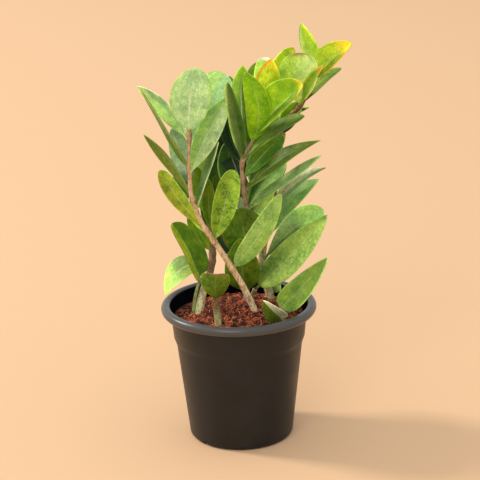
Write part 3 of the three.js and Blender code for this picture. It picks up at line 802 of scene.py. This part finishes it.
fronds["frond_centre"] = dict(
    slot="leaf_centre", radius=(2.5, 1.3), bark=("#A89878", "#A48E70", "#A88E70"),
    stem=[(4, 14, 77), (6, 24, 107), (9, 19, 145), (9, 12, 183), (6, 4, 221), (6, 2, 237), (14, 0, 254),
          (20, 2, 274), (27, 2, 299)],
    leaves=[
        leafAt(0.18, (2, 0, 173), 30, "moss", fold=10, arch=7, bow=-1, rib=0.15, spots=0.5),
        leafAt(0.31, (4, 0, 199), 36, "laurel", "basil", turn=-5, fold=20, arch=6, nose=0.35,
               leftRim="bark", rib=0.2, spots=0.7),
        leafAt(0.31, (-24, 46, 173), 25, "paintedShade", "forest", turn=20, arch=2, heel=0.6, nose=0.5),
        leafAt(0.47, (31, 28, 217), 17, "avocado", "leek", turn=20, fold=10),
        leafAt(0.5, (-6, 38, 226), 20, "olive", "paintedShade", turn=165, arch=4),
        leafAt(0.51, (43, 34, 228), 17, "bottle", "celery", turn=10, fold=10, bow=-4),
        leafAt(0.53, (70, -4, 243), 20, "teal", "haze", turn=-66, fold=10, arch=0, bow=1, heel=0.6,
               nose=0.8, rib=0.1),
        leafAt(0.56, (-5, 18, 252), 23, "bottle", turn=15, arch=-3, bow=-4, heel=0.5, nose=0.5,
               leftRim="rim", rib=0.15),
        leafAt(0.6, (69, -16, 259), 21, "basil", turn=-52, fold=10, bow=-4.2, heel=0.6, nose=1,
               rib=0.25),
        leafAt(0.6, (-13, 32, 262), 22, "paintedShade", turn=10, arch=2),
        leafAt(0.64, (-2, 52, 260), 20, "avocado", "basil", turn=165, arch=4),
        leafAt(0.65, (39, 20, 254), 18, "grass", "forest", turn=-20, fold=10, heel=0.7, nose=0.42),
        leafAt(0.7, (-5, 22, 285), 23, "paintedShade", turn=20, arch=-3),
        leafAt(0.71, (-3, 30, 303), 17, "paintedShade", "grass", arch=0, heel=0.6, nose=0.6),
        leafAt(0.72, (56, -26, 282), 22, "bean", "basil", turn=-60, fold=14, arch=4, heel=0.6, nose=0.6),
        leafAt(0.72, (-5, -44, 316), 12, "myrtle", "bottle", turn=-15, fold=14, arch=0, bow=1, heel=0.5,
               nose=0.6, leftRim="rim", rimWide=2.6, rib=0.1),
        leafAt(0.76, (8, 6, 317), 21, "ivy", "bottle", fold=12, arch=-3, bow=-3, heel=0.6, nose=0.7,
               end="lime", endFrom=0.9, rib=0.8),
        leafAt(0.79, (10, -26, 319), 21, "lime", "clover", fold=6, bow=8, heel=0.55, nose=0.6,
               leftRim="chartreuse", rightRim="chartreuse", rib=0.35),
        leafAt(0.84, (55, -30, 309), 31, "pine", "grass", turn=-38, fold=36, arch=4, bow=2.5, heel=0.6,
               nose=0.5, end="gold", endFrom=0.955, spots=0),
        leafAt(0.86, (6, 46, 296), 18, "moss", "grass", turn=170),
        leafAt(0.9, (20, 34, 313), 22, "grass", "forest", arch=0, bow=-1, heel=0.5, nose=0.6),
        leafAt(0.92, (27, 16, 321), 17, "pear", "olive", arch=2, heel=0.6, nose=0.35, end="cream",
               endFrom=0.93, spots=0),
        leafAt(0.92, (31, -8, 325), 22, "lemon", "palm", fold=10, arch=2, bow=1, heel=0.6, end="gold",
               endFrom=0.85, leftRim="amber", rimWide=4, spots=0),
        leafAt(0.97, (50, 37, 324), 17, "palm", fold=10, heel=0.6, nose=0.6, end="rust", endFrom=0.97,
               leftRim="lemon"),
    ],
)
fronds["frond_back_right"] = dict(
    slot="leaf_back_right", radius=(4.1, 1.4), bark=("#B4B07A", "#8A7C50", "#6B4A2C"),
    stem=[(18, 20, 76), (27, 31, 105), (21, 38, 133), (23, 44, 156), (30, 52, 185), (36, 54, 219),
          (40, 40, 257), (54, 24, 277), (63, 20, 294), (67, 20, 308)],
    leaves=[
        leafAt(0.21, (36, 34, 113), 12, "hay", "myrtle", arch=-3),
        leafAt(0.26, (72, 22, 190), 24, "willow", "avocado", turn=-10, fold=14, arch=5, bow=-3.3,
               heel=1.3, nose=0.5, end="rim", endFrom=0.7, rightRim="rim"),
        leafAt(0.34, (71, 56, 206), 23, "mint", "apple", turn=-38, fold=10, arch=4, bow=-4.3, heel=0.6,
               nose=0.8),
        leafAt(0.4, (49, 94, 203), 20, "bottle", "basil", turn=150, arch=5),
        leafAt(0.4, (19, 62, 222), 22, "myrtle", "avocado", arch=2),
        leafAt(0.42, (76, 40, 220), 20, "cream", "myrtle", turn=-55, fold=10, arch=5, bow=-5.5, heel=0.6,
               nose=0.9, end="bark", endFrom=0.96),
        leafAt(0.46, (9, 84, 225), 20, "avocado", "grass", turn=170, arch=4),
        leafAt(0.52, (33, 76, 227), 20, "avocado", turn=10, fold=10, arch=4),
        leafAt(0.58, (24, 86, 260), 20, "grass", "avocado", turn=170, arch=4),
        leafAt(0.63, (30, 68, 264), 18, "basil", "sorrel", turn=10, fold=10, arch=4),
        leafAt(0.71, (54, 48, 276), 15, "pine", "paintedShade", turn=-10, arch=2),
        leafAt(0.76, (62, 30, 275), 10, "leek", "moss", turn=-60, fold=10, arch=2),
        leafAt(0.86, (59, 40, 272), 7, "bean", turn=-70, fold=10, arch=0),
        leafAt(0.87, (89, 32, 307), 17, "khaki", "moss", turn=-50, fold=10, bow=-2),
        leafAt(0.87, (53, -2, 328), 32, "pear", "hay", fold=6, bow=-1, heel=0.8, nose=0.38, end="bark",
               endFrom=0.97, spots=0),
        leafAt(0.87, (72, -6, 318), 8, "leaf", "pea", turn=-20, fold=12, bow=-2, heel=0.5, nose=0.6,
               end="amber", endFrom=0.88, spots=0),
        leafAt(0.92, (44, 66, 307), 18, "lime", "pea", turn=170),
        leafAt(0.97, (97, 26, 329), 23, "palm", "olive", turn=-36, fold=36, arch=1.5, heel=0.5, nose=0.6,
               end="gold", endFrom=0.77, rightRim="amber"),
        leafAt(0.98, (57, 44, 343), 22, "mist", "chartreuse", turn=38, fold=38, bow=-5.7, heel=0.25,
               nose=0.85, leftRim="sage", rightRim="lemon", rimWide=2.2, spots=0),
    ],
)
fronds["sprout_front"] = dict(
    slot="leaf_sprout", radius=(2.8, 2.9), bark=("#B4C47C", "#B4C47C", "#6E5230"),
    stem=[(-14, -24, 79), (-17, -29, 107), (-18, -28, 119), (-19, -29, 132)],
    leaves=[
        leafAt(0.98, (-18, -52, 160), 24, "moss", "basil", fold=-14, arch=5, heel=0.85, nose=0.22,
               end="bark", endFrom=0.97, rib=0.12, spots=0.5),
    ],
)
fronds["shoot_left"] = dict(
    slot="leaf_shoot_left", radius=(1.7, 1.3), bark=("#A8D078", "#A8D078", "#90B060"),
    stem=[(-36, 4, 78), (-38, 4, 106), (-36, 2, 122), (-32, -1, 137)],
    leaves=[
        leafAt(1, (-53, -16, 192), 22, "chartreuse", "laurel", turn=38, fold=38, arch=1, bow=2,
               heel=0.22, nose=0.32, leftRim="bark", rib=0.25),
    ],
)
fronds["shoot_centre"] = dict(
    slot="leaf_shoot_centre", radius=(2.2, 1.6), bark=("#B0A878", "#A8A878", "#B0B088"),
    stem=[(13, 22, 75), (11, 33, 106), (12, 31, 112), (14, 29, 117)],
    leaves=[
        leafAt(1, (75, 0, 191), 26, "jade", "leek", turn=-10, fold=10, arch=6, bow=2.7, heel=0.55,
               nose=0.75, rightRim="pale", spots=0.45),
    ],
)
fronds["shoot_right"] = dict(
    slot="leaf_shoot_right", radius=(2.6, 1.8), bark=("#A8B070", "#A8B070", "#A8B070"),
    stem=[(35, -12, 76), (37, -21, 106), (35, -24, 112), (32, -24, 117)],
    leaves=[
        leafAt(0.81, (20, -40, 132), 17, "basil", "cream", turn=-24, fold=26, arch=2, heel=0.3, nose=0.7,
               rib=0.1),
        leafAt(0.99, (74, -20, 161), 21, "bean", turn=-5, arch=2, bow=1, heel=0.27, nose=0.8,
               rightRim="pale", rib=0.15, spots=0.12),
    ],
)
front = np.array([0, -0.95, 0.31])     # the side that most leaflets face


def stemPath(points, steps=24):
    # the smooth line through the points, in mm, and the length up to each of its steps
    knots = [np.array(p, float) for p in points]
    knots = [2 * knots[0] - knots[1]] + knots + [2 * knots[-1] - knots[-2]]
    line = []
    for a, b, c, d in zip(knots, knots[1:], knots[2:], knots[3:]):
        gapA, gapB, gapC = (max(1e-4, np.linalg.norm(q - p) ** 0.5) for p, q in ((a, b), (b, c), (c, d)))
        leave = ((b - a) / gapA - (c - a) / (gapA + gapB) + (c - b) / gapB) * gapB
        arrive = ((c - b) / gapB - (d - b) / (gapB + gapC) + (d - c) / gapC) * gapB
        for step in range(steps):
            t = step / steps
            line.append((2 * t**3 - 3 * t**2 + 1) * b + (t**3 - 2 * t**2 + t) * leave
                        + (3 * t**2 - 2 * t**3) * c + (t**3 - t**2) * arrive)
    line.append(knots[-2])
    line = np.array(line)
    lengths = np.concatenate([[0], np.cumsum(np.linalg.norm(np.diff(line, axis=0), axis=1))])
    return line, lengths


def placeAt(path, share):
    line, lengths = path
    return np.array([np.interp(share * lengths[-1], lengths, line[:, axis]) for axis in range(3)])


stemBlank = {
    "step": 1.6,                      # mm from ring to ring
    "swell": 0.22, "swellLong": 2.4,  # share thicker at a leaflet's joint, and mm along
    "scar": 0.45, "scarLong": 1.1, "scarBelow": 2.2,    # how dark, mm along and mm under the joint
}


def makeStem(name, frond, path):
    b = stemBlank
    total = path[1][-1]
    count = max(8, int(total / b["step"]))
    spots = [placeAt(path, i / count) * mm for i in range(count + 1)]
    joints = [leaf["at"] * total for leaf in frond["leaves"]]
    thick, thin = frond["radius"]
    radii = []
    for number in range(count + 1):
        share = number / count
        swell = sum(math.exp(-((share * total - joint) / b["swellLong"]) ** 2) for joint in joints)
        radii.append((thick + (thin - thick) * share) * (1 + b["swell"] * min(1.2, swell)))
    made = tubeAlong(spots, radii, bevel_depth=mm, bevel_resolution=4)
    finder = finderOf(spots)
    low, middle, high = (linear(text) for text in frond["bark"])
    scar = linear(stemLook["scar"])
    colours = []
    for vertex in made.data.vertices:
        share = finder.find(vertex.co)[1] / count
        colour = low + (middle - low) * ease(share, 0.2, 0.42) + (high - middle) * ease(share, 0.5, 0.9)
        off = min(abs(share * total - joint + b["scarBelow"]) for joint in joints)
        dark = b["scar"] * math.exp(-(off / b["scarLong"]) ** 2)
        colours.append(colour * (1 - dark) + scar * dark)
    paint(made.data, colours)
    finishPiece(made, name + "_stem", stemSkin, name)


def leafAxes(leaf, base):
    # its length, and the directions along it, across it and out of its face
    axis = np.array(leaf["tip"], float) - base
    length = np.linalg.norm(axis)
    axis /= length
    face = front - axis * front.dot(axis)
    face /= np.linalg.norm(face)
    face = np.array(Matrix.Rotation(math.radians(leaf["turn"]), 3, Vector(axis)) @ Vector(face))
    return length, axis, np.cross(axis, face), face


def bandIn(colour, tone, share):
    # the colours, with the tone laid over each as strongly as its share says
    return colour * (1 - share[:, None]) + tone * share[:, None]


def leafColours(leaf, t, share, width, above):
    # t = 0 at the stalk to 1 at the tip; share = -1 at the left edge to 1 at the right edge
    # painted light and shade: on a strongly folded leaf the halves meet sharply, one half lit and the
    # other shaded
    crisp = 0.1 if abs(leaf["fold"]) > 18 else 0.6
    colour = bandIn(toneOf[leaf["left"]], toneOf[leaf["right"]], ease(share, -crisp, crisp))
    if "end" in leaf:
        blur = 0.05 if leaf["endFrom"] > 0.9 else 0.12
        ended = ease(t, leaf["endFrom"] - blur, leaf["endFrom"] + blur)
        colour = bandIn(colour, toneOf[leaf["end"]], ended)
    # An edge takes its own tone where the leaf gives one; otherwise it is lightened, partly as a pale
    # margin and partly as painted rim light.
    for rim, way in (("leftRim", -1), ("rightRim", 1)):
        inside = width / 2 * (1 - way * share)      # mm in from that edge
        band = (1 - ease(inside, 0.3, leaf["rimWide"])) * ease(t, 0.1, 0.3)
        if rim in leaf:
            colour = bandIn(colour, toneOf[leaf[rim]], band)
        else:
            colour = bandIn(colour, np.minimum(1, colour * 1.7 + 0.03), band * 0.5)
    colour = bandIn(toneOf["husk"], colour, ease(t, 0.02, 0.12))
    colour = bandIn(colour, toneOf["back"], (1 - above) * 0.4)
    colour[:, 3] = leaf["rib"]
    return colour


def bendLeaf(leaf, base, rng):
    # a copy of the flat leaflet, drawn out to this leaf's own outline and bent to its tip
    b = leafBlank
    made = copyOf(leaflet, Matrix.Identity(4))
    x, y, z = (readPoints(made.data, "co") / mm).T
    above = ease(readPoints(made.data, "normal")[:, 2], -0.5, 0.5)
    length, axis, side, face = leafAxes(leaf, base)
    t = np.clip(y / b["length"], 0, 1)
    was = outlineAt(t, b["width"], b["heel"], b["nose"])
    now = outlineAt(t, leaf["wide"], leaf["heel"], leaf["nose"])
    share = np.clip(x / (b["width"] / 2) / was, -1, 1)
    half = share * now * leaf["wide"] / 2
    keel = b["keel"] * leaf["wide"] / 2
    lift = (np.sqrt(half * half + keel * keel) - keel) * math.tan(math.radians(leaf["fold"]))
    wave = np.sin(t * 9 + rng.uniform(0, 6)) * np.sign(share + 0.01)
    lift += b["ripple"] * wave * np.abs(share) ** 2
    twist = math.radians(leaf["twist"]) * (t - 0.3)
    curve = 4 * t * (1 - t)
    across = half * np.cos(twist) - (lift + z) * np.sin(twist) + leaf["bow"] * curve
    up = half * np.sin(twist) + (lift + z) * np.cos(twist) + leaf["arch"] * curve
    spots = base + np.outer(t * length, axis) + np.outer(across, side) + np.outer(up, face)
    made.data.vertices.foreach_set("co", (spots * mm).ravel())
    paint(made.data, leafColours(leaf, t, share, now * leaf["wide"], above))
    paint(made.data, [leaf["spots"]] * 4, "spotting")
    return made


for number, (name, frond) in enumerate(fronds.items()):
    rng = random.Random(100 + number)
    path = stemPath(frond["stem"])
    leaves = [bendLeaf(leaf, placeAt(path, leaf["at"]), rng) for leaf in frond["leaves"]]
    finishPiece(joined(leaves, name), name + "_leaflets", leafSkin, name)
    makeStem(name, frond, path)
bpy.data.objects.remove(leaflet)

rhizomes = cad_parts["rhizomes"]
rhizomes.data.materials.clear()
rhizomes.data.materials.append(tuberSkin)

# A plain card floor and soft studio light: a large key from the back left, a weak fill from the front.
studio = {
    "floor": "#D6B28C", "floorSize": 30,     # m
    "sky": "#FFFBF6", "skyPower": 0.9,
    "key": {"place": (-3900, 1190, 3060), "size": 880, "power": 172, "colour": "#FFF4E8"},
    "fill": {"place": (-700, -2200, 1800), "size": 1600, "power": 24, "colour": "#FFFFFF"},
    "aim": (0, 0, 170),      # mm
}
deselect()
bpy.ops.mesh.primitive_plane_add(size=studio["floorSize"])
floor = bpy.context.object
floor.name = "floor"
card, _, _ = newMaterial("card_floor_pale", Roughness=0.9, Base_Color=linear(studio["floor"]))
floor.data.materials.append(card)

world = bpy.data.worlds.new("studio")
bpy.context.scene.world = world
world.use_nodes = True
sky = world.node_tree.nodes["Background"]
plug(sky, "Color", linear(studio["sky"]))
plug(sky, "Strength", studio["skyPower"])
for name in ("key", "fill"):
    light = studio[name]
    place = Vector(light["place"]) * mm
    aim = (Vector(studio["aim"]) * mm - place).to_track_quat("-Z", "Y").to_euler()
    deselect()
    bpy.ops.object.light_add(type="AREA", location=place, rotation=aim)
    lamp = bpy.context.object
    lamp.name = name + "_light"
    lamp.data.size = light["size"] * mm
    lamp.data.energy = light["power"]
    lamp.data.color = linear(light["colour"])[:3]
bpy.context.scene.view_settings.view_transform = "Standard"
print("floor and lights set")
